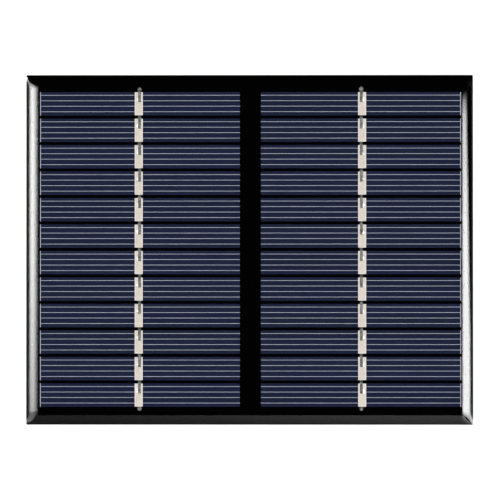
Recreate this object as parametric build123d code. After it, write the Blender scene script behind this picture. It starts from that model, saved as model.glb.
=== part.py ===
from build123d import *
import math
import os

# A resin-potted mini solar panel lying on its back, sun side up. Millimetres.
# X runs along the cell strips, Y across them, Z up. The origin is on the underside, at the board's centre.

# Board: laminate with copper and solder mask on both faces
BOARD_LENGTH = 115.0  # along X
BOARD_WIDTH = 90.0  # along Y
BOARD_CORNER_R = 0.3
LAMINATE_T = 1.07
COPPER_T = 0.035
MASK_T = 0.03  # where it covers copper

# Cell strips: two columns, one strip per row
ROWS = 12
EDGE_MARGIN_X = 3.4  # board's end to the cells
EDGE_MARGIN_Y = 4.52  # board's side to the cells
COLUMN_GAP = 5.4
ROW_GAP = 0.81
ARRAY_SHIFT_X = 0.23  # the cells are laid a little off the board's centre
ARRAY_SHIFT_Y = 0.1
CELL_T = 0.2

# Silver printed on each cell
SILVER_T = 0.02
FINGER_COUNT = 4
FINGER_WIDTH = 0.12
FINGER_TOP_MARGIN = 0.81  # cell's upper edge to the first finger's middle
FINGER_BOTTOM_MARGIN = 0.96
END_LINE_WIDTH = 0.14
BUSBAR_WIDTH = 2.13
BUSBAR_OFFSET = 0.3  # from the cell's middle towards its outer end

# Tinned ribbon from the front of one cell to the back of the next one up
RIBBON_WIDTH = 0.77
RIBBON_T = 0.12
RIBBON_OFFSET = 0.13  # from the cell's middle towards its outer end
FRONT_LAP = 2.6
BACK_LAP = 3.0
RIBBON_CLEARANCE = 0.05  # between a bend and the edge of a cell
TAB_RUN = 0.4  # length of the slope of a ribbon that comes down to the board

# Tape under the cells, either side of the ribbons
TAPE_T = 0.2
TAPE_INSET = 1.0  # in from the cells' edges
TAPE_TO_RIBBON = 2.0  # from the ribbon's middle

# Solder joints that hold the ribbon ends in plated holes
JOINT_R = 0.46
JOINT_HEIGHT = 0.38  # above the board
TOP_JOINT_GAP = 0.18  # cell's edge to the joint's rim
BOTTOM_JOINT_GAP = 0.08
DRILL_R = 0.35
PLATING_T = 0.05
PAD_RIM = 0.12  # pad beyond the joint, under the mask

# Copper on the back, and the two wire pads
TRACE_WIDTH = 2.4
LINK_STUB = 3.0  # straight start and end of the series link
LINK_MIDDLE = 20.0  # its straight run along the centre strip
TERMINAL_SPACING = 18.0
TERMINAL_LENGTH = 6.0  # along Y
TERMINAL_WIDTH = 4.0
TERMINAL_CORNER_R = 0.5
MASK_OVERLAP = 0.2  # mask over the wire pads' edges
TIN_T = 0.025

# Printed marks, flush in the mask
INK_T = 0.015
MARK_SIZE = 2.6
MARK_LINE = 0.7
MARK_DISTANCE = 2.4  # wire pad's end to the mark's middle
OUTLINE_GAP = 0.5
OUTLINE_LINE = 0.2

# Clear resin cover
RESIN_T = 1.6  # above the board
RESIN_RIM = 0.15  # its height at the board's edge
DOME_WIDTH = 3.6  # how far in from the edge it is still rising

# Levels of the stack
Z_BACK_COPPER = MASK_T
Z_LAMINATE = Z_BACK_COPPER + COPPER_T
Z_FRONT_COPPER = Z_LAMINATE + LAMINATE_T
Z_PAD_TOP = Z_FRONT_COPPER + COPPER_T
Z_BOARD_TOP = Z_PAD_TOP + MASK_T
Z_CELL = Z_BOARD_TOP + TAPE_T
Z_CELL_TOP = Z_CELL + CELL_T
Z_SILVER_TOP = Z_CELL_TOP + SILVER_T
Z_RIBBON_UNDER = Z_CELL - RIBBON_T
Z_RESIN_TOP = Z_BOARD_TOP + RESIN_T

# Sizes and places that follow
CELL_LENGTH = (BOARD_LENGTH - 2 * EDGE_MARGIN_X - COLUMN_GAP) / 2
CELL_WIDTH = (BOARD_WIDTH - 2 * EDGE_MARGIN_Y - (ROWS - 1) * ROW_GAP) / ROWS
ROW_PITCH = CELL_WIDTH + ROW_GAP
ARRAY_TOP = ARRAY_SHIFT_Y + BOARD_WIDTH / 2 - EDGE_MARGIN_Y
ARRAY_BOTTOM = ARRAY_SHIFT_Y - BOARD_WIDTH / 2 + EDGE_MARGIN_Y
TOP_JOINT_Y = ARRAY_TOP + TOP_JOINT_GAP + JOINT_R
BOTTOM_JOINT_Y = ARRAY_BOTTOM - BOTTOM_JOINT_GAP - JOINT_R
BORE_R = DRILL_R - PLATING_T
PAD_R = JOINT_R + PAD_RIM
SIDES = {"left": -1, "right": 1}


def raised(sketch, bottom, top):
    """A flat outline made into a plate between two levels."""
    return extrude(Pos(0, 0, bottom) * sketch, amount=top - bottom)


def rectangle(x_ends, y_ends):
    """A flat rectangle from its ends along X and along Y, in either order."""
    middle = Pos(sum(x_ends) / 2, sum(y_ends) / 2)
    return middle * Rectangle(abs(x_ends[1] - x_ends[0]), abs(y_ends[1] - y_ends[0]))


def group(shapes):
    """Separate solids that share one node."""
    return Compound([solid for shape in shapes for solid in shape.solids()])


def across(side, distance):
    """The X of a point this far out from the middle of the cell array, on one side."""
    return ARRAY_SHIFT_X + side * distance


def cell_middle():
    """How far a column's middle is from the middle of the cell array."""
    return (COLUMN_GAP + CELL_LENGTH) / 2


def cell_ends(side):
    """The X of a column's inner and outer ends."""
    inner = across(side, COLUMN_GAP / 2)
    outer = across(side, COLUMN_GAP / 2 + CELL_LENGTH)
    return inner, outer


def ribbon_x(side):
    """The X of the ribbons' middle."""
    return across(side, cell_middle() + RIBBON_OFFSET)


def row_top(row):
    """The Y of the upper edge of a row's cells, row 0 at the top."""
    return ARRAY_TOP - row * ROW_PITCH


def board_outline():
    """The board's rounded rectangle."""
    return RectangleRounded(BOARD_LENGTH, BOARD_WIDTH, BOARD_CORNER_R)


def top_hole(side):
    """Centre of the plated hole above a column."""
    return ribbon_x(side), TOP_JOINT_Y


def bottom_hole(side):
    """Centre of the plated hole below a column."""
    return ribbon_x(side), BOTTOM_JOINT_Y


HOLES = [hole(side) for side in SIDES.values() for hole in (top_hole, bottom_hole)]


def discs(places, radius):
    """Flat discs of one radius at each place."""
    return [Pos(x, y) * Circle(radius) for x, y in places]


def strip_along(points, width):
    """A flat strip along straight runs, round at its ends and corners."""
    runs = []
    for (xa, ya), (xb, yb) in zip(points, points[1:]):
        turn = math.degrees(math.atan2(yb - ya, xb - xa))
        run = SlotCenterToCenter(math.hypot(xb - xa, yb - ya), width)
        runs.append(Pos((xa + xb) / 2, (ya + yb) / 2) * Rot(0, 0, turn) * run)
    return Sketch() + runs


def terminal_centre(side):
    """Centre of a wire pad: minus on the left, plus on the right, seen from the front."""
    return across(side, TERMINAL_SPACING / 2), 0


def terminal_outline(side, shrink=0.0):
    """A wire pad's rounded rectangle, or the same drawn in by shrink."""
    x, y = terminal_centre(side)
    size = TERMINAL_WIDTH - 2 * shrink, TERMINAL_LENGTH - 2 * shrink
    return Pos(x, y) * RectangleRounded(*size, TERMINAL_CORNER_R)


def terminal_copper(side, hole):
    """Back copper from a plated hole to a wire pad: straight down the column, then slanting in."""
    x, y = terminal_centre(side)
    towards = -side  # minus comes from above, plus from below
    bend = hole[0], y + towards * abs(hole[0] - x)
    return strip_along([hole, bend, (x, y)], TRACE_WIDTH) + terminal_outline(side)


def link_copper():
    """Back copper that puts the columns in series: left column's bottom end to right column's top end."""
    start = bottom_hole(SIDES["left"])
    end = top_hole(SIDES["right"])
    points = [
        start,
        (start[0], start[1] + LINK_STUB),
        (ARRAY_SHIFT_X, -LINK_MIDDLE / 2),
        (ARRAY_SHIFT_X, LINK_MIDDLE / 2),
        (end[0], end[1] - LINK_STUB),
        end,
    ]
    return strip_along(points, TRACE_WIDTH)


BACK_COPPER = {
    "negative_copper": terminal_copper(SIDES["left"], top_hole(SIDES["left"])),
    "series_link_copper": link_copper(),
    "positive_copper": terminal_copper(SIDES["right"], bottom_hole(SIDES["right"])),
}
NET_HOLES = {
    "negative_copper": [top_hole(SIDES["left"])],
    "series_link_copper": [bottom_hole(SIDES["left"]), top_hole(SIDES["right"])],
    "positive_copper": [bottom_hole(SIDES["right"])],
}


def copper_net(name):
    """One continuous piece of copper: its back run, and a barrel and a front pad at each of its holes."""
    holes = NET_HOLES[name]
    net = raised(BACK_COPPER[name], Z_BACK_COPPER, Z_LAMINATE)
    for barrel, pad in zip(discs(holes, DRILL_R), discs(holes, PAD_R)):
        net += raised(barrel, Z_BACK_COPPER, Z_PAD_TOP)
        net += raised(pad, Z_FRONT_COPPER, Z_PAD_TOP)
    for bore in discs(holes, BORE_R):
        net -= raised(bore, Z_BACK_COPPER, Z_PAD_TOP)
    return net


def board_core():
    """The laminate, drilled for the four plated holes."""
    core = raised(board_outline(), Z_LAMINATE, Z_FRONT_COPPER)
    return core - [raised(hole, Z_LAMINATE, Z_FRONT_COPPER) for hole in discs(HOLES, DRILL_R)]


def front_solder_mask():
    """Black mask over the front, level on top, open at the four solder joints."""
    mask = raised(board_outline(), Z_FRONT_COPPER, Z_BOARD_TOP)
    pads = [raised(pad, Z_FRONT_COPPER, Z_PAD_TOP) for pad in discs(HOLES, PAD_R)]
    openings = [raised(hole, Z_PAD_TOP, Z_BOARD_TOP) for hole in discs(HOLES, JOINT_R)]
    return mask - pads - openings


def polarity_mark(side):
    """A minus bar or a plus cross beyond a wire pad's end."""
    x, y = terminal_centre(side)
    place = Pos(x, y + TERMINAL_LENGTH / 2 + MARK_DISTANCE)
    mark = place * Rectangle(MARK_SIZE, MARK_LINE)
    if side > 0:
        mark += place * Rectangle(MARK_LINE, MARK_SIZE)
    return mark


def pad_outline(side):
    """A thin printed frame round a wire pad."""
    frame = terminal_outline(side, -OUTLINE_GAP - OUTLINE_LINE)
    return frame - terminal_outline(side, -OUTLINE_GAP)


def printed_marks():
    """Everything printed on the back, as plates flush with the mask's face."""
    outlines = [draw(side) for side in SIDES.values() for draw in (polarity_mark, pad_outline)]
    return [raised(outline, 0, INK_T) for outline in outlines]


def back_solder_mask():
    """Black mask over the back, flat on its face, open over the wire pads."""
    mask = raised(board_outline(), 0, Z_LAMINATE)
    copper = [raised(shape, Z_BACK_COPPER, Z_LAMINATE) for shape in BACK_COPPER.values()]
    openings = [raised(terminal_outline(side, MASK_OVERLAP), 0, Z_BACK_COPPER) for side in SIDES.values()]
    return mask - copper - openings - printed_marks()


def terminal_solder():
    """Tin on the two wire pads, a little below the mask's face."""
    tins = [terminal_outline(side, MASK_OVERLAP) for side in SIDES.values()]
    return group(raised(tin, Z_BACK_COPPER - TIN_T, Z_BACK_COPPER) for tin in tins)


def bonding_tapes():
    """Four strips of double-sided tape, one each side of each line of ribbons."""
    y_ends = ARRAY_BOTTOM + TAPE_INSET, ARRAY_TOP - TAPE_INSET
    tapes = []
    for side in SIDES.values():
        inner, outer = cell_ends(side)
        middle = ribbon_x(side)
        spans = (
            (inner + side * TAPE_INSET, middle - side * TAPE_TO_RIBBON),
            (middle + side * TAPE_TO_RIBBON, outer - side * TAPE_INSET),
        )
        tapes += [raised(rectangle(span, y_ends), Z_BOARD_TOP, Z_CELL) for span in spans]
    return group(tapes)


def cell(side, row):
    """One silicon strip."""
    edges = row_top(row) - CELL_WIDTH, row_top(row)
    return raised(rectangle(cell_ends(side), edges), Z_CELL, Z_CELL_TOP)


def silver_grid(side, row):
    """Busbar, fingers and end line of one cell, one piece of fired silver."""
    inner, outer = cell_ends(side)
    top = row_top(row)
    edges = top - CELL_WIDTH, top
    busbar = across(side, cell_middle() + BUSBAR_OFFSET)
    grid = rectangle((busbar - BUSBAR_WIDTH / 2, busbar + BUSBAR_WIDTH / 2), edges)
    grid += rectangle((outer - side * END_LINE_WIDTH, outer), edges)
    pitch = (CELL_WIDTH - FINGER_TOP_MARGIN - FINGER_BOTTOM_MARGIN) / (FINGER_COUNT - 1)
    for finger in range(FINGER_COUNT):
        middle = top - FINGER_TOP_MARGIN - finger * pitch
        grid += rectangle((inner, outer), (middle - FINGER_WIDTH / 2, middle + FINGER_WIDTH / 2))
    return raised(grid, Z_CELL_TOP, Z_SILVER_TOP)


def bent_ribbon(side, underside):
    """A ribbon of even thickness on an underside given as (Y, Z) points, with rising Y and mitred bends."""
    runs = [Vector(*b) - Vector(*a) for a, b in zip(underside, underside[1:])]
    normals = [Vector(-run.Y, run.X).normalized() for run in runs]
    pairs = zip([normals[0]] + normals, normals + [normals[-1]])
    shifts = [(a + b) * (RIBBON_T / (1 + a.dot(b))) for a, b in pairs]
    upper = [(y + shift.X, z + shift.Y) for (y, z), shift in zip(underside, shifts)]
    face = make_face(Polyline(*underside, *reversed(upper), close=True))
    return Pos(ribbon_x(side), 0, 0) * extrude(Plane.YZ * face, amount=RIBBON_WIDTH / 2, both=True)


def link_ribbon(side, row):
    """From the back of the cell in this row, through the gap, onto the busbar of the cell below."""
    edge = row_top(row + 1)
    underside = [
        (edge - FRONT_LAP, Z_SILVER_TOP),
        (edge + RIBBON_CLEARANCE, Z_SILVER_TOP),
        (edge + ROW_GAP - RIBBON_CLEARANCE - RIBBON_T / 2, Z_RIBBON_UNDER),
        (edge + ROW_GAP + BACK_LAP, Z_RIBBON_UNDER),
    ]
    return bent_ribbon(side, underside)


def top_end_tab(side):
    """From the first cell's busbar down to the board, ending in its solder joint."""
    underside = [
        (ARRAY_TOP - FRONT_LAP, Z_SILVER_TOP),
        (ARRAY_TOP + RIBBON_CLEARANCE, Z_SILVER_TOP),
        (ARRAY_TOP + RIBBON_CLEARANCE + TAB_RUN, Z_BOARD_TOP),
        (max(TOP_JOINT_Y, ARRAY_TOP + 2 * TAB_RUN), Z_BOARD_TOP),
    ]
    return bent_ribbon(side, underside)


def bottom_end_tab(side):
    """From the last cell's back out along the board, ending in its solder joint."""
    underside = [
        (BOTTOM_JOINT_Y, Z_BOARD_TOP),
        (ARRAY_BOTTOM + RIBBON_CLEARANCE, Z_BOARD_TOP),
        (ARRAY_BOTTOM + RIBBON_CLEARANCE + TAB_RUN, Z_RIBBON_UNDER),
        (ARRAY_BOTTOM + BACK_LAP, Z_RIBBON_UNDER),
    ]
    return bent_ribbon(side, underside)


def solder_joint(hole):
    """Solder that fills a plated hole and stands on its pad as a cap, turned about the hole's axis."""
    tip = (0, Z_BOARD_TOP + JOINT_HEIGHT)
    rim = (JOINT_R, Z_BOARD_TOP)
    sides = Polyline(
        rim,
        (JOINT_R, Z_PAD_TOP),
        (BORE_R, Z_PAD_TOP),
        (BORE_R, Z_BACK_COPPER),
        (0, Z_BACK_COPPER),
        tip,
    )
    face = make_face(sides + TangentArc(tip, rim, tangent=(1, 0)))
    return Pos(*hole, 0) * revolve(Plane.XZ * face, axis=Axis.Z)


def dome_section(length):
    """Cross-section of the cover: a low rim, an arc that rises to the flat top and is tangent to it, and back."""
    low = length / 2, Z_BOARD_TOP
    rim = length / 2, Z_BOARD_TOP + RESIN_RIM
    crest = length / 2 - DOME_WIDTH, Z_RESIN_TOP
    arc = TangentArc(crest, rim, tangent=(1, 0))
    half = arc + Polyline(rim, low, (0, low[1]), (0, crest[1]), crest)
    face = make_face(half)
    return face + mirror(face, about=Plane.YZ)


def epoxy_cover(embedded):
    """Clear resin: the part that two long domed bars have in common, cut out round all that it holds."""
    along_x = extrude(Plane.XZ * dome_section(BOARD_LENGTH), amount=BOARD_WIDTH / 2, both=True)
    along_y = extrude(Plane.YZ * dome_section(BOARD_WIDTH), amount=BOARD_LENGTH / 2, both=True)
    outline = raised(board_outline(), Z_BOARD_TOP, Z_RESIN_TOP)
    return (along_x & along_y & outline) - embedded


def build():
    """All nodes, by name."""
    nodes = {name: copper_net(name) for name in BACK_COPPER}
    nodes["board_core"] = board_core()
    nodes["front_solder_mask"] = front_solder_mask()
    nodes["back_solder_mask"] = back_solder_mask()
    nodes["terminal_solder"] = terminal_solder()
    nodes["polarity_marks"] = group(printed_marks())

    held = {"bonding_tapes": bonding_tapes()}
    for name, side in SIDES.items():
        for row in range(ROWS):
            held[f"cell_{name}_{row + 1:02d}"] = cell(side, row)
        for row in range(ROWS - 1):
            held[f"ribbon_{name}_{row + 1:02d}"] = link_ribbon(side, row)
    held["silver_grids"] = group(silver_grid(side, row) for side in SIDES.values() for row in range(ROWS))
    top_tabs = [top_end_tab(side) for side in SIDES.values()]
    bottom_tabs = [bottom_end_tab(side) for side in SIDES.values()]
    held["top_end_tabs"] = group(top_tabs)
    held["bottom_end_tabs"] = group(bottom_tabs)
    held["end_solder_joints"] = group(solder_joint(hole) - top_tabs - bottom_tabs for hole in HOLES)

    nodes.update(held)
    nodes["epoxy_cover"] = epoxy_cover(list(held.values()))
    return nodes


os.makedirs("parts", exist_ok=True)
for node, shape in build().items():
    export_step(shape, f"parts/{node}.step")
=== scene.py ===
import math

import bpy
import numpy as np
from mathutils import Matrix, Vector


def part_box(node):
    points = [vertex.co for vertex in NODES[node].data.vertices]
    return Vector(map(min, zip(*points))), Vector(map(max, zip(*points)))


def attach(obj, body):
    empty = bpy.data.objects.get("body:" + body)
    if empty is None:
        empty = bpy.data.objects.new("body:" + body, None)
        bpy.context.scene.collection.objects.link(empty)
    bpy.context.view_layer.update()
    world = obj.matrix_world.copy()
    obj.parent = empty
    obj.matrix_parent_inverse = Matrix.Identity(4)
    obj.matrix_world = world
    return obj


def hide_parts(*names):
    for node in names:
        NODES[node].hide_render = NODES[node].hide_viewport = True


# A small solar panel: two columns of silicon strips under a clear domed resin, on a black circuit board.
# Metres. X runs along the strips, Y across them, Z up, and the back lies on the floor.

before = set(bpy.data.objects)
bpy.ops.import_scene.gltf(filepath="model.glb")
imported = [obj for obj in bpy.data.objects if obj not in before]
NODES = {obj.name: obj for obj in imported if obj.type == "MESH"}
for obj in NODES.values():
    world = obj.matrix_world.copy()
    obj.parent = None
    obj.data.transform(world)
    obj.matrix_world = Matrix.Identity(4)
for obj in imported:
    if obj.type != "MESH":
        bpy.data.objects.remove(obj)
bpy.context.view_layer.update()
MM = 0.001


def node_box(name):
    """A fixed node's lowest and highest corners."""
    return np.array([list(end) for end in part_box(name)])


# Cells: places that follow from the fixed model
ROWS = sum(name.startswith("cell_left_") for name in NODES)
SIDES = {"left": -1.0, "right": 1.0}
FIRST_LOW, FIRST_HIGH = node_box("cell_left_01")
SECOND_HIGH = node_box("cell_left_02")[1]
ACROSS_LOW = node_box("cell_right_01")[0]
ARRAY_MIDDLE_X = (FIRST_HIGH[0] + ACROSS_LOW[0]) / 2
ARRAY_TOP_Y = FIRST_HIGH[1]
PITCH = FIRST_HIGH[1] - SECOND_HIGH[1]
CELL_WIDTH = FIRST_HIGH[1] - FIRST_LOW[1]
CELL_LENGTH = FIRST_HIGH[0] - FIRST_LOW[0]
COLUMN_GAP = ACROSS_LOW[0] - FIRST_HIGH[0]
CELL_MIDDLE = (COLUMN_GAP + CELL_LENGTH) / 2
CELL_TOP = FIRST_HIGH[2]
ARRAY_BOTTOM_Y = ARRAY_TOP_Y - (ROWS - 1) * PITCH - CELL_WIDTH
BOARD_TOP = node_box("front_solder_mask")[1][2]
SILVER_TOP = node_box("silver_grids")[1][2]

# Silver print
BUSBAR_WIDTH = 2.06 * MM
BUSBAR_OUT = CELL_MIDDLE + 0.335 * MM
BUSBAR_INSET = 0.05 * MM  # short of the cell's edges
BUSBAR_PROUD = 0.004 * MM  # above the fingers
FINGER_COUNT = 4
FINGER_WIDTH = 0.10 * MM
FINGER_FIRST = 0.81 * MM  # below the cell's upper edge
FINGER_LAST = 0.96 * MM  # above its lower edge
FINGER_PITCH = (CELL_WIDTH - FINGER_FIRST - FINGER_LAST) / (FINGER_COUNT - 1)
END_LINE_WIDTH = 0.14 * MM
SILVER_SINK = 0.001 * MM  # its underside is just inside the cell

# Ribbons, and where they bend: from one place to another above a cell's edge
RIBBON_LOW, RIBBON_HIGH = node_box("ribbon_left_01")
RIBBON_WIDTH = RIBBON_HIGH[0] - RIBBON_LOW[0]
RIBBON_THICK = RIBBON_HIGH[2] - SILVER_TOP
RIBBON_OUT = ARRAY_MIDDLE_X - (RIBBON_LOW[0] + RIBBON_HIGH[0]) / 2
UPPER_LEVEL = SILVER_TOP
LOWER_LEVEL = RIBBON_LOW[2]
FRONT_LAP = ARRAY_TOP_Y - PITCH - RIBBON_LOW[1]
BACK_LAP = RIBBON_HIGH[1] - FIRST_LOW[1]
LINK_BEND = np.array((0.2, 0.6)) * MM
TOP_BEND = np.array((0.15, 0.75)) * MM
TOP_TAB_END = 1.1 * MM
BOTTOM_BEND = np.array((-0.35, 0.05)) * MM
BOTTOM_TAB_END = -0.75 * MM
TAB_STEPS = 30

# Plated holes at the ribbons' ends, and solder
LEFT_HOLE_X = ARRAY_MIDDLE_X - RIBBON_OUT
RIGHT_HOLE_X = ARRAY_MIDDLE_X + RIBBON_OUT
TOP_HOLE_Y = ARRAY_TOP_Y + 0.64 * MM
BOTTOM_HOLE_Y = ARRAY_BOTTOM_Y - 0.54 * MM
SOLDER_OUT = RIBBON_OUT + RIBBON_WIDTH / 2 + 0.02 * MM
SOLDER_DOWN = 1.85 * MM  # below the cell's upper edge
SOLDER_WANDER = 0.12 * MM
SOLDER_REACH = 0.42 * MM, 0.72 * MM
SOLDER_HEIGHT = 0.11 * MM
SOLDER_WAVES = 0.05  # how far the outline ripples, as a share of its reach
SOLDER_SINK = 0.02 * MM
BEAD_R = 0.15 * MM
BEAD_OUT = 0.08 * MM  # beyond the hole's middle
BEAD_LIFT = 0.2 * MM

# Copper under the back mask: each run's corners, and its width
TERMINAL_OUT = 9.0 * MM
TRACE_WIDTH = 2.4 * MM
LINK_STUB = 3.0 * MM
LINK_HALF = 10.0 * MM
COPPER_RUNS = (
    (
        (LEFT_HOLE_X, TOP_HOLE_Y),
        (LEFT_HOLE_X, RIBBON_OUT - TERMINAL_OUT),
        (ARRAY_MIDDLE_X - TERMINAL_OUT, 0.0),
    ),
    (
        (LEFT_HOLE_X, BOTTOM_HOLE_Y),
        (LEFT_HOLE_X, BOTTOM_HOLE_Y + LINK_STUB),
        (ARRAY_MIDDLE_X, -LINK_HALF),
        (ARRAY_MIDDLE_X, LINK_HALF),
        (RIGHT_HOLE_X, TOP_HOLE_Y - LINK_STUB),
        (RIGHT_HOLE_X, TOP_HOLE_Y),
    ),
    (
        (RIGHT_HOLE_X, BOTTOM_HOLE_Y),
        (RIGHT_HOLE_X, TERMINAL_OUT - RIBBON_OUT),
        (ARRAY_MIDDLE_X + TERMINAL_OUT, 0.0),
    ),
)

# Resin
RESIN_HIGH = node_box("epoxy_cover")[1]
RIM_HEIGHT = 0.15 * MM
DOME_WIDTH = 3.6 * MM
CORNER_R = 0.3 * MM
DOME_LINES = 37  # lines of points across the curve along an edge
DOME_CROWDING = 1.3  # above 1 they stand closer together near the edge
LEVEL_LINES = 22  # lines of points across the level middle
RESIN_SINK = 0.005 * MM  # its underside is just inside the board

# Patterns of the finishes
EDGE_SLACK = 0.02 * PITCH  # a point on a cell's upper edge still counts as in that cell
COLUMN_STEP = 40.0  # sets the right column's row numbers apart from the left's
COATING_FADE = 0.5 * MM  # where the coating thins, along a cell's edges
BUSBAR_SHADE = 0.45 * MM  # where a cell is darker next to its busbar: a painted shade
PALE_END_WIDTH = 0.35 * MM  # where a busbar is paler, at its ends
PALE_SIDE_SPAN = 0.36 * BUSBAR_WIDTH, 0.47 * BUSBAR_WIDTH  # and along its sides, out from its middle line
WEAVE_PITCH = 0.55 * MM
PLY_PITCH = 0.153 * MM
TRACE_SHOULDER = TRACE_WIDTH / 2 - 0.08 * MM, TRACE_WIDTH / 2 + 0.16 * MM  # the mask's slope over an edge


# ---------------------------------------------------------------- shader helpers


def fill_inputs(tree, node, inputs):
    """Links an input that is given a socket, and sets one that is given a value."""
    for name, value in inputs.items():
        if isinstance(value, bpy.types.NodeSocket):
            tree.links.new(value, node.inputs[name])
        else:
            node.inputs[name].default_value = value


def put(tree, kind, inputs=None, **settings):
    """Adds a shader node with its settings and inputs."""
    node = tree.nodes.new("ShaderNode" + kind)
    for name, value in settings.items():
        setattr(node, name, value)
    fill_inputs(tree, node, inputs or {})
    return node


def use(tree, group, inputs=None):
    """Places a node group in a material with its own values."""
    return put(tree, "Group", inputs, node_tree=group).outputs


def maths(tree, operation, *values, clamp=False):
    """The result of one arithmetic step on sockets or numbers."""
    inputs = dict(enumerate(values))
    return put(tree, "Math", inputs, operation=operation, use_clamp=clamp).outputs[0]


def vector_maths(tree, operation, inputs, result="Vector"):
    """The result of one step on vectors."""
    return put(tree, "VectorMath", inputs, operation=operation).outputs[result]


def scaled(tree, vector, factor):
    """A vector or colour times a factor."""
    return vector_maths(tree, "SCALE", {0: vector, "Scale": factor})


def between(tree, value, low, high, to_low=0.0, to_high=1.0):
    """A value carried smoothly from one range to another."""
    inputs = {"Value": value, "From Min": low, "From Max": high, "To Min": to_low, "To Max": to_high}
    return put(tree, "MapRange", inputs, interpolation_type="SMOOTHSTEP").outputs["Result"]


def over_middle(tree, value, to_low, to_high):
    """A cloudy value's middle stretch carried smoothly to another range."""
    return between(tree, value, 0.3, 0.7, to_low, to_high)


def mixed(tree, factor, first, second):
    """Two colours mixed by a factor."""
    return put(tree, "Mix", {0: factor, 6: first, 7: second}, data_type="RGBA").outputs[2]


def noise(tree, place, scale, detail):
    """Cloudy values between 0 and 1."""
    return put(tree, "TexNoise", {"Vector": place, "Scale": scale, "Detail": detail}).outputs[0]


def chance(tree, number):
    """A value between 0 and 1 that is unlike for unlike numbers."""
    return put(tree, "TexWhiteNoise", {"W": number}, noise_dimensions="1D").outputs["Value"]


def ripple(tree, distance, pitch):
    """A sine wave along a distance."""
    return maths(tree, "SINE", maths(tree, "MULTIPLY", distance, 2 * math.pi / pitch))


def relief(tree, height, strength, depth, **under):
    """The normal of a surface with a height of the given depth, on top of any normal under it."""
    inputs = {"Height": height, "Strength": strength, "Distance": depth, **under}
    return put(tree, "Bump", inputs).outputs[0]


def object_place(tree):
    """Object coordinates."""
    return put(tree, "TexCoord").outputs["Object"]


def split(tree, vector):
    """A vector's X, Y and Z."""
    return put(tree, "SeparateXYZ", {0: vector}).outputs


def new_group(name, inputs, outputs):
    """An empty shader node group with named sockets, and its two end nodes."""
    tree = bpy.data.node_groups.new(name, "ShaderNodeTree")
    for direction, sockets in (("INPUT", inputs), ("OUTPUT", outputs)):
        for socket, (kind, value) in sockets.items():
            made = tree.interface.new_socket(socket, in_out=direction, socket_type="NodeSocket" + kind)
            if value is not None:
                made.default_value = value
    return tree, tree.nodes.new("NodeGroupInput"), tree.nodes.new("NodeGroupOutput")


def new_material(name, shader_inputs):
    """A material with a Principled shader set to the given values."""
    material = bpy.data.materials.new(name)
    material.use_nodes = True
    tree = material.node_tree
    shader = tree.nodes["Principled BSDF"]
    fill_inputs(tree, shader, shader_inputs)
    return material, tree, shader


def feed(tree, shader, **sockets):
    """Links sockets into the Principled shader's base colour, roughness and normal."""
    names = {"base": "Base Color", "roughness": "Roughness", "normal": "Normal"}
    for key, socket in sockets.items():
        tree.links.new(socket, shader.inputs[names[key]])


# ---------------------------------------------------------------- shared effects


def make_mottle():
    """Cloudy unevenness: two sizes of noise, as a tinted colour and as a height."""
    sockets = {
        "Colour": ("Color", (0.5, 0.5, 0.5, 1)),
        "Amount": ("Float", 0.1),
        "Size": ("Float", 1.0),
        "Seed": ("Float", 0.0),
    }
    outputs = {"Colour": ("Color", None), "Mask": ("Float", None)}
    tree, start, end = new_group("mottle", sockets, outputs)
    place = object_place(tree)

    def cloud(scale, detail):
        inputs = {"Vector": place, "Scale": scale, "W": start.outputs["Seed"], "Detail": detail}
        return put(tree, "TexNoise", inputs, noise_dimensions="4D").outputs[0]

    scale = maths(tree, "DIVIDE", 1.0, maths(tree, "MULTIPLY", start.outputs["Size"], MM))
    broad = cloud(scale, 2.0)
    fine = cloud(maths(tree, "MULTIPLY", scale, 4.7), 3.0)
    both = maths(tree, "ADD", maths(tree, "MULTIPLY", broad, 0.6), maths(tree, "MULTIPLY", fine, 0.4))
    centred = maths(tree, "MULTIPLY", maths(tree, "SUBTRACT", both, 0.5), start.outputs["Amount"])
    gain = maths(tree, "ADD", 1.0, maths(tree, "MULTIPLY", centred, 4.0))
    tree.links.new(scaled(tree, start.outputs["Colour"], gain), end.inputs["Colour"])
    tree.links.new(both, end.inputs["Mask"])
    return tree


def make_cell_place():
    """Where a point lies in its cell: how far down from the upper edge, how far in from the nearer edge,
    how far from the busbar's middle line, and the number of its row."""
    outputs = {name: ("Float", None) for name in ("Down", "From Edge", "From Bar", "Row")}
    tree, _, end = new_group("place_in_cell", {}, outputs)
    parts = split(tree, object_place(tree))
    rows_down = maths(tree, "DIVIDE", maths(tree, "SUBTRACT", ARRAY_TOP_Y + EDGE_SLACK, parts[1]), PITCH)
    whole = maths(tree, "MULTIPLY", maths(tree, "FRACT", rows_down), PITCH)
    down = maths(tree, "SUBTRACT", whole, EDGE_SLACK)
    from_edge = maths(tree, "MINIMUM", down, maths(tree, "SUBTRACT", CELL_WIDTH, down))
    across = maths(tree, "SUBTRACT", parts[0], ARRAY_MIDDLE_X)
    out = maths(tree, "ABSOLUTE", across)
    from_bar = maths(tree, "ABSOLUTE", maths(tree, "SUBTRACT", out, BUSBAR_OUT))
    column = maths(tree, "GREATER_THAN", across, 0.0)
    row = maths(tree, "ADD", maths(tree, "FLOOR", rows_down), maths(tree, "MULTIPLY", column, COLUMN_STEP))
    for name, socket in (("Down", down), ("From Edge", from_edge), ("From Bar", from_bar), ("Row", row)):
        tree.links.new(socket, end.inputs[name])
    return tree


MOTTLE = make_mottle()
PLACE_IN_CELL = make_cell_place()


def mottled(tree, colour, amount, size, seed=0.0):
    """A colour that is cloudy by the given amount, in patches of a size in millimetres, and the clouds."""
    clouds = use(tree, MOTTLE, {"Colour": (*colour, 1), "Amount": amount, "Size": size, "Seed": seed})
    return clouds["Colour"], clouds["Mask"]


# ---------------------------------------------------------------- materials


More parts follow.
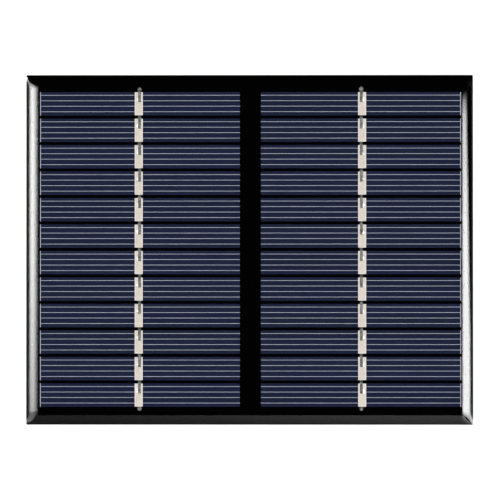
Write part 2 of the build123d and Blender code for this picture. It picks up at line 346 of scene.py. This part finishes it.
def silicon():
    """Dark blue coated silicon: fine grain, each strip a little different, purple where its coating is
    thin, and darkened next to its busbar as a painted shade."""
    material, tree, shader = new_material("silicon", {"Specular IOR Level": 0.0})
    place = use(tree, PLACE_IN_CELL)
    blue, cloud = mottled(tree, (0.0122, 0.0162, 0.0340), amount=0.16, size=3.0)
    thin = between(tree, place["From Edge"], 0.0, COATING_FADE, 1.0, 0.0)
    band = maths(tree, "FLOOR", maths(tree, "DIVIDE", place["Down"], FINGER_PITCH))
    strip = maths(tree, "ADD", band, maths(tree, "MULTIPLY", place["Row"], 7.0))
    tint = maths(tree, "MULTIPLY", chance(tree, strip), 0.8)
    warm = maths(tree, "MAXIMUM", maths(tree, "MULTIPLY", thin, 0.5), tint)
    purple = mixed(tree, warm, blue, (0.0119, 0.0142, 0.0395, 1))
    # Painted shade: the silicon is darkened along both sides of its busbar, where no real shade falls.
    painted_busbar_shade = between(tree, place["From Bar"], BUSBAR_WIDTH / 2, BUSBAR_WIDTH / 2 + BUSBAR_SHADE, 0.35, 0.0)
    dark = mixed(tree, painted_busbar_shade, purple, (0.004, 0.005, 0.014, 1))
    gain = maths(tree, "ADD", 0.93, maths(tree, "MULTIPLY", chance(tree, place["Row"]), 0.14))
    grain = relief(tree, noise(tree, object_place(tree), 9000.0, 2.0), 0.25, 0.02 * MM)
    rough = over_middle(tree, cloud, 0.38, 0.5)
    feed(tree, shader, base=scaled(tree, dark, gain), roughness=rough, normal=grain)
    return material


def fired_silver(name, colour, bright):
    """Matt fired silver paste, paler along its sides and ends."""
    material, tree, shader = new_material(name, {"Specular IOR Level": 0.0})
    place = use(tree, PLACE_IN_CELL)
    side_rim = between(tree, place["From Bar"], *PALE_SIDE_SPAN)
    end_rim = between(tree, place["From Edge"], 0.0, PALE_END_WIDTH, 1.0, 0.0)
    rim = maths(tree, "MULTIPLY", maths(tree, "MAXIMUM", side_rim, end_rim), 0.8)
    paste, cloud = mottled(tree, colour, amount=0.12, size=0.9, seed=2.0)
    base = mixed(tree, rim, paste, (*bright, 1))
    normal = relief(tree, cloud, 0.3, 0.02 * MM)
    feed(tree, shader, base=base, roughness=over_middle(tree, cloud, 0.55, 0.7), normal=normal)
    return material


def dull_tin(name, colour, pale, metallic, rough, seed):
    """Hot-dipped tin: streaky grey, part mirror and part frost."""
    material, tree, shader = new_material(name, {"Metallic": metallic, "Specular IOR Level": 0.2})
    grey, cloud = mottled(tree, colour, amount=0.5, size=0.45, seed=seed)
    base = mixed(tree, between(tree, cloud, 0.42, 0.6), grey, (*pale, 1))
    normal = relief(tree, cloud, 0.5, 0.03 * MM)
    feed(tree, shader, base=base, roughness=over_middle(tree, cloud, *rough), normal=normal)
    return material


def front_mask():
    """Solder mask under the resin: dead black, with no shine of its own."""
    material, tree, shader = new_material("front_mask", {"IOR": 1.5, "Specular IOR Level": 0.0})
    black, cloud = mottled(tree, (0.0006, 0.0006, 0.0006), amount=0.25, size=4.0, seed=5.0)
    feed(tree, shader, base=black, roughness=over_middle(tree, cloud, 0.46, 0.56))
    return material


def from_run(tree, place, start, end):
    """How far a point is from a straight run: the length of its offset from the start, less the share of
    the run that lies alongside it, clamped between none and all."""
    run = Vector((end[0] - start[0], end[1] - start[1], 0.0))
    offset = vector_maths(tree, "SUBTRACT", {0: place, 1: (*start, 0.0)})
    along = vector_maths(tree, "DOT_PRODUCT", {0: offset, 1: run}, "Value")
    share = maths(tree, "MULTIPLY", along, 1 / run.length_squared, clamp=True)
    return vector_maths(tree, "DISTANCE", {0: offset, 1: scaled(tree, run, share)}, "Value")


def back_mask():
    """Bare solder mask: glossy black lacquer over glass cloth, which shows as a faint weave, standing a
    little higher and paler where it covers copper."""
    material, tree, shader = new_material("back_mask", {"IOR": 1.5})
    black, cloud = mottled(tree, (0.006, 0.006, 0.0065), amount=0.25, size=4.0, seed=5.0)
    place = object_place(tree)
    parts = split(tree, place)
    warp, weft = ripple(tree, parts[0], WEAVE_PITCH), ripple(tree, parts[1], WEAVE_PITCH)
    cloth = maths(tree, "MULTIPLY", warp, weft)
    height = maths(tree, "ADD", maths(tree, "MULTIPLY", cloth, 0.3), cloud)
    woven = relief(tree, height, 0.35, 0.01 * MM)
    nearest = 1.0
    for corners in COPPER_RUNS:
        for start, end in zip(corners, corners[1:]):
            nearest = maths(tree, "MINIMUM", nearest, from_run(tree, place, start, end))
    over = between(tree, nearest, *TRACE_SHOULDER, 1.0, 0.0)
    base = mixed(tree, over, black, (0.017, 0.0145, 0.012, 1))
    normal = relief(tree, over, 1.0, 0.03 * MM, Normal=woven)
    feed(tree, shader, base=base, roughness=over_middle(tree, cloud, 0.18, 0.28), normal=normal)
    return material


def laminate():
    """Cut edge of glass-epoxy board: olive tan with fine plies."""
    material, tree, shader = new_material("laminate", {"IOR": 1.5})
    place = object_place(tree)
    plies = maths(tree, "MULTIPLY", ripple(tree, split(tree, place)[2], PLY_PITCH), 0.16)
    flattened = put(tree, "Mapping", {"Vector": place, "Scale": (1.0, 1.0, 9.0)}).outputs[0]
    fibres = noise(tree, flattened, 2600.0, 4.0)
    shade = maths(tree, "ADD", plies, fibres)
    base = mixed(tree, between(tree, shade, 0.25, 0.75), (0.13, 0.113, 0.05, 1), (0.33, 0.285, 0.15, 1))
    normal = relief(tree, shade, 0.6, 0.03 * MM)
    feed(tree, shader, base=base, roughness=over_middle(tree, fibres, 0.5, 0.75), normal=normal)
    return material


def copper():
    """Bare copper, a little uneven."""
    material, tree, shader = new_material("copper", {"Metallic": 1.0})
    red, cloud = mottled(tree, (0.80, 0.38, 0.22), amount=0.2, size=1.5, seed=7.0)
    feed(tree, shader, base=red, roughness=over_middle(tree, cloud, 0.25, 0.45))
    return material


def plain_film(name, colour, roughness, size, specular):
    """Ink or tape: an opaque film with a slightly uneven face."""
    material, tree, shader = new_material(name, {"Specular IOR Level": specular})
    film, cloud = mottled(tree, colour, amount=0.12, size=size, seed=9.0)
    rough = over_middle(tree, cloud, roughness, roughness + 0.12)
    feed(tree, shader, base=film, roughness=rough, normal=relief(tree, cloud, 0.3, 0.01 * MM))
    return material


def clear_resin():
    """Clear cast epoxy. Light that leaves the parts under it, or falls on them, passes straight through."""
    settings = {"Base Color": (1, 1, 1, 1), "IOR": 1.55, "Transmission Weight": 1.0}
    material, tree, shader = new_material("clear_resin", settings)
    place = object_place(tree)
    wander = relief(tree, noise(tree, place, 120.0, 1.0), 0.08, 0.05 * MM)
    smudge = over_middle(tree, noise(tree, place, 60.0, 3.0), 0.02, 0.05)
    feed(tree, shader, roughness=smudge, normal=wander)
    path = put(tree, "LightPath").outputs
    through = maths(tree, "MAXIMUM", path["Is Shadow Ray"], path["Is Diffuse Ray"])
    clear = put(tree, "BsdfTransparent")
    mix = put(tree, "MixShader", {0: through, 1: shader.outputs[0], 2: clear.outputs[0]})
    tree.links.new(mix.outputs[0], tree.nodes["Material Output"].inputs["Surface"])
    return material


SILICON = silicon()
SILVER_BAR = fired_silver("silver_busbar", (0.63, 0.57, 0.51), (0.79, 0.755, 0.69))
SILVER_LINE = fired_silver("silver_finger", (0.50, 0.525, 0.64), (0.50, 0.525, 0.64))
RIBBON_TIN = dull_tin(
    "ribbon_tin", (0.062, 0.068, 0.063), (0.21, 0.215, 0.21), metallic=0.3, rough=(0.35, 0.5), seed=3.0
)
JOINT_TIN = dull_tin(
    "joint_solder", (0.10, 0.10, 0.095), (0.22, 0.215, 0.205), metallic=0.3, rough=(0.35, 0.5), seed=6.0
)
SOLDER = dull_tin(
    "solder", (0.62, 0.62, 0.61), (0.8, 0.8, 0.79), metallic=0.85, rough=(0.25, 0.4), seed=4.0
)
INK = plain_film("ink", (0.78, 0.78, 0.75), roughness=0.5, size=0.4, specular=0.4)
TAPE = plain_film("tape", (0.0008, 0.0008, 0.0009), roughness=0.6, size=1.0, specular=0.0)
COPPER = copper()
RESIN = clear_resin()

FINISH = {
    "board_core": laminate(),
    "front_solder_mask": front_mask(),
    "back_solder_mask": back_mask(),
    "terminal_solder": SOLDER,
    "end_solder_joints": SOLDER,
    "polarity_marks": INK,
    "bonding_tapes": TAPE,
    "negative_copper": COPPER,
    "series_link_copper": COPPER,
    "positive_copper": COPPER,
}


def finish_of(name):
    """The material of a fixed node."""
    if name.startswith("cell_"):
        return SILICON
    return FINISH.get(name, RIBBON_TIN)


for node_name, node in NODES.items():
    node.data.materials.clear()
    node.data.materials.append(finish_of(node_name))


# ---------------------------------------------------------------- meshes


def new_mesh(name, points, faces, material):
    """A mesh of one material, from an array of points and a list of faces."""
    mesh = bpy.data.meshes.new(name)
    mesh.from_pydata(points.reshape(-1, 3).tolist(), [], faces)
    mesh.materials.append(material)
    return mesh


def new_object(name, data):
    """An object in the scene."""
    thing = bpy.data.objects.new(name, data)
    bpy.context.scene.collection.objects.link(thing)
    return thing


def add_piece(name, points, faces, material, replaced, sharp=40.0):
    """Puts points and faces into a mesh object that rides on the panel and stands for fixed nodes."""
    mesh = new_mesh(name, points, faces, material)
    mesh.polygons.foreach_set("use_smooth", np.ones(len(mesh.polygons), bool))
    mesh.set_sharp_from_angle(angle=math.radians(sharp))
    mesh.update()
    piece = new_object(name, mesh)
    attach(piece, "root")
    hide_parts(*replaced)


def grid_faces(rows, columns):
    """Four-sided faces of a grid of points numbered row by row."""
    index = np.arange(rows * columns).reshape(rows, columns)
    corners = index[:-1, :-1], index[:-1, 1:], index[1:, 1:], index[1:, :-1]
    return np.stack(corners, axis=-1).reshape(-1, 4)


def bar_faces(bars, steps, around):
    """Faces of several closed bars, each a tube of rings with a flat cap at both ends."""
    index = np.arange(bars * steps * around).reshape(bars, steps, around)
    loop = np.concatenate([index, index[:, :, :1]], axis=2)
    corners = loop[:, :-1, :-1], loop[:, :-1, 1:], loop[:, 1:, 1:], loop[:, 1:, :-1]
    sides = np.stack(corners, axis=-1).reshape(-1, 4)
    caps = np.concatenate([index[:, 0, ::-1], index[:, -1]])
    return sides.tolist() + caps.tolist()


def add_bars(name, rings, material, replaced, sharp=40.0):
    """Closed bars in one piece, from rings of points numbered by bar, step and place round the ring."""
    add_piece(name, rings, bar_faces(*rings.shape[:3]), material, replaced, sharp)


def dome_lines(half):
    """Places across the dome: close together near both edges, where it curves, and even between."""
    near = np.linspace(0.0, 1.0, DOME_LINES) ** DOME_CROWDING * DOME_WIDTH
    middle = np.linspace(-half + DOME_WIDTH, half - DOME_WIDTH, LEVEL_LINES + 2)[1:-1]
    return np.concatenate([near - half, middle, half - near[::-1]])


def dome_arc(place, half, rise):
    """The dome's share of its rise: in from an edge the arc of radius (w*w + h*h) / 2h climbs h over the
    width w, then stays level."""
    radius = (DOME_WIDTH ** 2 + rise ** 2) / (2 * rise)
    short = np.clip(DOME_WIDTH - (half - np.abs(place)), 0.0, DOME_WIDTH)
    return 1.0 - (radius - np.sqrt(radius ** 2 - short ** 2)) / rise


def into_corner(place, half):
    """How far a place is into its corner's radius, from 0 to 1."""
    return np.clip((np.abs(place) - half + CORNER_R) / CORNER_R, 0.0, 1.0)


def drawn_in(place, over, over_other):
    """A place moved inwards at a corner: by the radius times its own share into the corner, times one
    less the square root of one less half the other direction's share squared."""
    return place - np.sign(place) * CORNER_R * over * (1 - np.sqrt(1 - over_other ** 2 / 2))


def domed_resin():
    """A slab with rounded corners whose height above its rim is the product of two arcs, one rising from
    each pair of edges."""
    rise = RESIN_HIGH[2] - BOARD_TOP - RIM_HEIGHT
    half_x, half_y = RESIN_HIGH[:2]
    x, y = np.meshgrid(dome_lines(half_x), dome_lines(half_y), indexing="ij")
    height = RIM_HEIGHT + rise * dome_arc(x, half_x, rise) * dome_arc(y, half_y, rise)
    over_x, over_y = into_corner(x, half_x), into_corner(y, half_y)
    plan = np.stack([drawn_in(x, over_x, over_y), drawn_in(y, over_y, over_x)], axis=-1)
    top = np.concatenate([plan, BOARD_TOP + height[..., None]], axis=-1)
    bottom = np.concatenate([plan, np.full((*x.shape, 1), BOARD_TOP - RESIN_SINK)], axis=-1)
    faces = grid_faces(*x.shape)
    index = np.arange(x.size).reshape(x.shape)
    edge = np.concatenate([index[:-1, 0], index[-1, :-1], index[:0:-1, -1], index[0, :0:-1]])
    after = np.roll(edge, -1)
    wall = np.stack([edge, edge + x.size, after + x.size, after], axis=-1)
    all_faces = np.concatenate([faces[:, ::-1], faces + x.size, wall])
    add_piece("epoxy_dome", np.stack([top, bottom]), all_faces.tolist(), RESIN, ["epoxy_cover"])


def strokes(*corners):
    """Start and end points of straight bars, from their start X, start Y, end X and end Y."""
    return np.stack(np.broadcast_arrays(*corners), axis=-1).reshape(-1, 2, 2)


def flat_bars(lines, width, low, high):
    """Rings of straight flat bars: a section that is upright for six tenths of its height, then slopes in
    to a level top 0.84 wide, carried from the start to the end of each line."""
    shoulder, flat = 0.6, 0.42
    section = np.array([(-0.5, 0), (0.5, 0), (0.5, shoulder), (flat, 1), (-flat, 1), (-0.5, shoulder)])
    run = lines[:, 1] - lines[:, 0]
    run = run / np.linalg.norm(run, axis=1, keepdims=True)
    side = np.stack([-run[:, 1], run[:, 0]], axis=1)
    plan = lines[:, :, None] + side[:, None, None] * (width * section[:, :1])
    level = np.broadcast_to(low + (high - low) * section[:, 1], plan.shape[:3])
    return np.concatenate([plan, level[..., None]], axis=-1)


def silver_print():
    """Busbars, fingers and end lines of every cell, as flat bars on the cells' faces."""
    tops = ARRAY_TOP_Y - PITCH * np.arange(ROWS)
    bottoms = tops - CELL_WIDTH
    down = np.linspace(FINGER_FIRST, CELL_WIDTH - FINGER_LAST, FINGER_COUNT)
    finger_y = (tops[:, None] - down).ravel()
    low = CELL_TOP - SILVER_SINK
    bars, lines = [], []
    for side in SIDES.values():
        bar_x = ARRAY_MIDDLE_X + side * BUSBAR_OUT
        bar_lines = strokes(bar_x, bottoms + BUSBAR_INSET, bar_x, tops - BUSBAR_INSET)
        bars.append(flat_bars(bar_lines, BUSBAR_WIDTH, low, SILVER_TOP + BUSBAR_PROUD))
        inner = ARRAY_MIDDLE_X + side * COLUMN_GAP / 2
        outer = inner + side * CELL_LENGTH
        finger_lines = strokes(min(inner, outer), finger_y, max(inner, outer), finger_y)
        lines.append(flat_bars(finger_lines, FINGER_WIDTH, low, SILVER_TOP))
        end_x = outer - side * END_LINE_WIDTH / 2
        lines.append(flat_bars(strokes(end_x, bottoms, end_x, tops), END_LINE_WIDTH, low, SILVER_TOP))
    add_bars("busbars", np.concatenate(bars), SILVER_BAR, ["silver_grids"])
    add_bars("fingers", np.concatenate(lines), SILVER_LINE, [])


def smooth_step(value, low, high):
    """Three x squared less two x cubed, between two levels."""
    part = np.clip((value - low) / (high - low), 0.0, 1.0)
    return part * part * (3 - 2 * part)


def ribbon_rings(x_middle, y, z, phase):
    """A flat ribbon's rings: at each step of its path a superellipse, its underside on the path, tilted
    with the path's slope; its width and thickness wander by a few parts in a hundred as sums of sines,
    and shrink over the last three steps at both ends."""
    side_power, face_power = 0.35, 0.6
    turn = np.linspace(0.0, 2 * np.pi, 20, endpoint=False)
    section_x = np.sign(np.cos(turn)) * np.abs(np.cos(turn)) ** side_power / 2
    section_z = (np.sign(np.sin(turn)) * np.abs(np.sin(turn)) ** face_power + 1) / 2
    slope = np.gradient(z, y)
    length = np.sqrt(1 + slope ** 2)
    lift_y, lift_z = -slope / length, 1 / length
    wave = np.sin(y / MM * 2.3 + phase) + 0.6 * np.sin(y / MM * 5.1 + 2 * phase)
    from_end = np.minimum(np.arange(y.size), np.arange(y.size)[::-1])
    blunt = np.sqrt(1 - (1 - np.clip((from_end + 1) / 3, 0, 1)) ** 2)
    width = RIBBON_WIDTH * (1 + 0.025 * wave) * (0.9 + 0.1 * blunt)
    thick = RIBBON_THICK * (1 - 0.05 * wave) * (0.5 + 0.5 * blunt)
    x = x_middle + width[:, None] * section_x + 0.01 * MM * wave[:, None]
    rings_y = y[:, None] + (lift_y * thick)[:, None] * section_z
    rings_z = z[:, None] + (lift_z * thick)[:, None] * section_z
    return np.stack([x, rings_y, rings_z], axis=-1)[None]


def add_ribbon(name, x_middle, y, z, phase, replaced):
    """One ribbon along a path of rising Y."""
    rings = ribbon_rings(x_middle, y, z, phase)[:, :, ::-1]
    add_bars(name, rings, RIBBON_TIN, replaced, 60.0)


def link_ribbons():
    """A ribbon in each row gap: level on the busbar below, a smooth step down through the gap, and level
    again under the cell above."""
    for side_name, side in SIDES.items():
        for row in range(1, ROWS):
            node_name = f"ribbon_{side_name}_{row:02d}"
            low, high = node_box(node_name)
            bend = ARRAY_TOP_Y - row * PITCH + LINK_BEND
            on_busbar = np.linspace(low[1], bend[0], 16, endpoint=False)
            in_gap = np.linspace(*bend, 12, endpoint=False)
            under_cell = np.linspace(bend[1], high[1], 6)
            y = np.concatenate([on_busbar, in_gap, under_cell])
            z = UPPER_LEVEL + (LOWER_LEVEL - UPPER_LEVEL) * smooth_step(y, *bend)
            add_ribbon(f"tinned_{node_name}", (low[0] + high[0]) / 2, y, z, 1.7 * row + side, [node_name])


def end_tabs():
    """The ribbons' ends beyond the first and last cells: each comes level off its cell, then steps to the
    board and runs into its solder."""
    for side_name, side in SIDES.items():
        middle = ARRAY_MIDDLE_X + side * RIBBON_OUT
        y = np.linspace(ARRAY_TOP_Y - FRONT_LAP, ARRAY_TOP_Y + TOP_TAB_END, TAB_STEPS)
        z = UPPER_LEVEL + (BOARD_TOP - UPPER_LEVEL) * smooth_step(y, *(ARRAY_TOP_Y + TOP_BEND))
        add_ribbon(f"top_tab_{side_name}", middle, y, z, 3.1 + side, ["top_end_tabs"])
        y = np.linspace(ARRAY_BOTTOM_Y + BOTTOM_TAB_END, ARRAY_BOTTOM_Y + BACK_LAP, TAB_STEPS)
        z = BOARD_TOP + (LOWER_LEVEL - BOARD_TOP) * smooth_step(y, *(ARRAY_BOTTOM_Y + BOTTOM_BEND))
        add_ribbon(f"bottom_tab_{side_name}", middle, y, z, 5.3 + side, ["bottom_end_tabs"])


def solder_mound(centre, reach, height, waves=0.0, phase=0.0):
    """A closed mound over a rounded outline: as an angle falls from near 0 at its top to a right angle at
    its rim, its radius grows as the sine and its height shrinks as the cosine to a power under 1; its
    outline ripples as the turn's third and fifth multiples, and its foot goes straight down."""
    top_fall, fullness = 0.06, 0.8
    turn = np.linspace(0.0, 2 * np.pi, 28, endpoint=False)[None, :]
    fall = np.linspace(top_fall, np.pi / 2, 12)[:, None]
    outline = 1 + waves * np.sin(3 * turn + phase) + 0.5 * waves * np.sin(5 * turn + 2 * phase)
    radius = np.sin(fall) * outline
    x = centre[0] + reach[0] * radius * np.cos(turn)
    y = centre[1] + reach[1] * radius * np.sin(turn)
    z = centre[2] + height * np.cos(fall) ** fullness * np.ones_like(turn)
    rings = np.stack([x, y, z], axis=-1)
    foot = rings[-1:].copy()
    foot[..., 2] = centre[2] - SOLDER_SINK
    return np.concatenate([rings, foot])[None]


def add_mounds(name, mounds, material, replaced):
    """Several mounds in one piece."""
    add_bars(name, np.concatenate(mounds)[:, ::-1], material, replaced, 70.0)


def solder_on_ribbons():
    """Bright solder along the outer flank of every ribbon, low and long."""
    for side_name, side in SIDES.items():
        mounds = []
        for row in range(ROWS):
            shift = SOLDER_WANDER * math.sin(2.1 * row + side)
            y = ARRAY_TOP_Y - row * PITCH - SOLDER_DOWN + shift
            centre = ARRAY_MIDDLE_X + side * SOLDER_OUT, y, SILVER_TOP
            mounds.append(solder_mound(centre, SOLDER_REACH, SOLDER_HEIGHT, SOLDER_WAVES, 1.3 * row))
        add_mounds(f"ribbon_solder_{side_name}", mounds, SOLDER, [])


def end_joints():
    """Solder over the plated holes at the ends of the tabs, each a little different, and a bright bead.
    A joint's numbers are its hole, and in millimetres how far up from the hole's middle it lies, its
    reach along X and Y, its height, and last the share that its outline ripples."""
    joints = {
        "top_left": (LEFT_HOLE_X, TOP_HOLE_Y, 0.02, 0.50, 0.52, 0.24, 0.02),
        "top_right": (RIGHT_HOLE_X, TOP_HOLE_Y, 0.10, 0.60, 0.62, 0.26, 0.03),
        "bottom_left": (LEFT_HOLE_X, BOTTOM_HOLE_Y, -0.02, 0.54, 0.52, 0.20, 0.02),
        "bottom_right": (RIGHT_HOLE_X, BOTTOM_HOLE_Y, -0.01, 0.50, 0.50, 0.30, 0.02),
    }
    for corner, (x, hole_y, up, reach_x, reach_y, height, waves) in joints.items():
        y = hole_y + up * MM
        reach = reach_x * MM, reach_y * MM
        mound = solder_mound((x, y, BOARD_TOP), reach, height * MM, waves, y / MM)
        add_mounds(f"joint_{corner}", [mound], JOINT_TIN, ["end_solder_joints"])
    centre = RIGHT_HOLE_X, BOTTOM_HOLE_Y - BEAD_OUT, BOARD_TOP + BEAD_LIFT
    add_mounds("solder_bead", [solder_mound(centre, (BEAD_R, BEAD_R), BEAD_R)], SOLDER, [])


domed_resin()
silver_print()
link_ribbons()
end_tabs()
solder_on_ribbons()
end_joints()


# ---------------------------------------------------------------- camera, floor and light

EYE = Vector((11.07, -14.61, 1000.0)) * MM
AIM = Vector((0.105, -0.043, 0.0)) * MM
LENS = 279.4  # millimetres
SENSOR = 36.0  # millimetres
FLOOR_HALF = 6.0
OVERHEAD_HEIGHT = 1.6
OVERHEAD_WIDTH = 1.2
OVERHEAD_WATTS = 24.0
SHEET_RADIUS = 0.5
TAPER_FROM = -0.03  # a tapered sheet's outer edge runs level below this place

scene = bpy.context.scene
scene.view_settings.view_transform = "Standard"


def make_camera():
    """A long lens almost straight above the panel, with the camera's up along Y."""
    data = bpy.data.cameras.new("camera")
    data.sensor_width = SENSOR
    data.lens = LENS
    data.clip_start = 0.05
    data.clip_end = 20.0
    camera = new_object("camera", data)
    back = (EYE - AIM).normalized()
    right = Vector((0.0, 1.0, 0.0)).cross(back).normalized()
    axes = Matrix((right, back.cross(right), back)).transposed().to_4x4()
    camera.matrix_world = Matrix.Translation(EYE) @ axes
    scene.camera = camera


def make_floor():
    """A wide pale sheet under the panel, which glows as painted light: faintly near the panel and fully far
    out.
    """
    line = np.linspace(-FLOOR_HALF, FLOOR_HALF, 13)
    x, y = np.meshgrid(line, line, indexing="ij")
    settings = {"Emission Strength": 1.0, "Specular IOR Level": 0.1}
    material, tree, shader = new_material("glowing_floor_paper", settings)
    # Painted light: the floor glows at three tenths strength within 0.2 m of the middle, rising to full
    # strength at 1.6 m.
    distance = vector_maths(tree, "LENGTH", {0: object_place(tree)}, "Value")
    painted_floor_glow = mixed(tree, between(tree, distance, 0.2, 1.6), (0.3, 0.3, 0.3, 1), (1, 1, 1, 1))
    tree.links.new(painted_floor_glow, shader.inputs["Emission Color"])
    pale, cloud = mottled(tree, (0.86, 0.86, 0.86), amount=0.02, size=60.0)
    feed(tree, shader, base=pale, roughness=over_middle(tree, cloud, 0.7, 0.8))
    points = np.stack([x, y, np.zeros_like(x)], axis=-1)
    faces = grid_faces(*x.shape)[:, ::-1]
    new_object("floor", new_mesh("floor", points, faces.tolist(), material))


def overhead_light():
    """One broad soft lamp straight above, which shows in no mirror."""
    data = bpy.data.lights.new("overhead", "AREA")
    data.size = OVERHEAD_WIDTH
    data.energy = OVERHEAD_WATTS
    lamp = new_object("overhead", data)
    lamp.location = (0, 0, OVERHEAD_HEIGHT)
    lamp.visible_camera = False
    lamp.visible_glossy = False
    lamp.visible_transmission = False


def glowing(name, low, high, soft, strength, fades, taper):
    """The light of a bent sheet: it rises from its low angle off the zenith over the first soft angle,
    and falls to its high one over the second, times a smooth step for each fade along Y. The taper brings
    the high angle in by so many degrees per metre along Y."""
    material = bpy.data.materials.new(name)
    material.use_nodes = True
    tree = material.node_tree
    tree.nodes.clear()
    parts = split(tree, object_place(tree))
    tilt = maths(tree, "DEGREES", maths(tree, "ARCTAN2", parts[0], parts[2]))
    inner = between(tree, tilt, low, low + soft[0])
    moved = maths(tree, "MULTIPLY", maths(tree, "MAXIMUM", parts[1], TAPER_FROM), taper)
    outer = between(tree, maths(tree, "ADD", tilt, moved), high - soft[1], high, 1.0, 0.0)
    glow = maths(tree, "MULTIPLY", inner, outer)
    for fade in fades:
        glow = maths(tree, "MULTIPLY", glow, between(tree, parts[1], *fade))
    light = put(tree, "Emission", {"Strength": maths(tree, "MULTIPLY", glow, strength)})
    put(tree, "OutputMaterial", {"Surface": light.outputs[0]})
    return material


def softbox(name, turn, low, high, reach, soft, strength, fades, taper=0.0):
    """A glowing sheet bent round the panel, turned about Z to its side: part of a cylinder about Y from
    one angle off the zenith to another, and from one end of its reach to the other."""
    angle = np.radians(np.linspace(low, high - TAPER_FROM * taper, 25))
    tilt, y = np.meshgrid(angle, np.linspace(*reach, 13), indexing="ij")
    points = np.stack([SHEET_RADIUS * np.sin(tilt), y, SHEET_RADIUS * np.cos(tilt)], axis=-1)
    material = glowing(name, low, high, soft, strength, fades, taper)
    sheet = new_object(name, new_mesh(name, points, grid_faces(*y.shape).tolist(), material))
    sheet.rotation_euler.z = math.radians(turn)
    sheet.visible_camera = False
    sheet.visible_diffuse = False
    sheet.visible_shadow = False


def make_softboxes():
    """The sheets whose reflections run along the resin's left, right and front edges. A fade is the place
    along the sheet where it starts, where it ends, and the brightness at both."""
    softbox(
        "softbox_left", turn=180.0, low=15.5, high=79.0, reach=(-0.29, 0.5),
        soft=(35.0, 24.5), strength=18.7,
        fades=[(0.13, -0.04, 0.15, 1.0), (-0.25, -0.045, 0.0, 1.0)],
    )
    softbox(
        "softbox_right", turn=0.0, low=20.6, high=72.0, reach=(-0.31, 0.1),
        soft=(14.4, 21.5), strength=18.8, taper=230.0,
        fades=[
            (0.071, 0.054, 0.0, 1.0),
            (0.06, 0.01, 0.75, 1.0),
            (-0.25, -0.05, 0.4, 1.0),
            (-0.31, -0.25, 0.0, 1.0),
        ],
    )
    softbox(
        "softbox_front", turn=-90.0, low=29.0, high=130.0, reach=(-0.3, 0.3),
        soft=(5.0, 95.0), strength=0.96,
        fades=[(-0.09, 0.09, 0.3, 0.85), (0.1, 0.32, 1.0, 4.5)],
    )


def make_world():
    """Pale all round to the eye and for soft light; in mirrors dark, with a dim glow low on both sides."""
    world = bpy.data.worlds.new("studio")
    world.use_nodes = True
    scene.world = world
    tree = world.node_tree
    background = tree.nodes["Background"]
    path = put(tree, "LightPath").outputs
    way = split(tree, put(tree, "TexCoord").outputs["Generated"])
    sideways = between(tree, maths(tree, "ABSOLUTE", way[0]), 0.3, 0.7)
    mirror = maths(tree, "MULTIPLY", between(tree, way[2], 0.0, 0.7, 0.4, 0.0), sideways)
    soft = maths(tree, "MULTIPLY", path["Is Diffuse Ray"], 0.4)
    direct = maths(tree, "MAXIMUM", soft, path["Is Camera Ray"])
    other = maths(tree, "MULTIPLY", mirror, maths(tree, "LESS_THAN", direct, 0.2))
    tree.links.new(maths(tree, "ADD", direct, other), background.inputs["Strength"])
    background.inputs["Color"].default_value = (1, 1, 1, 1)


make_camera()
make_floor()
overhead_light()
make_softboxes()
make_world()
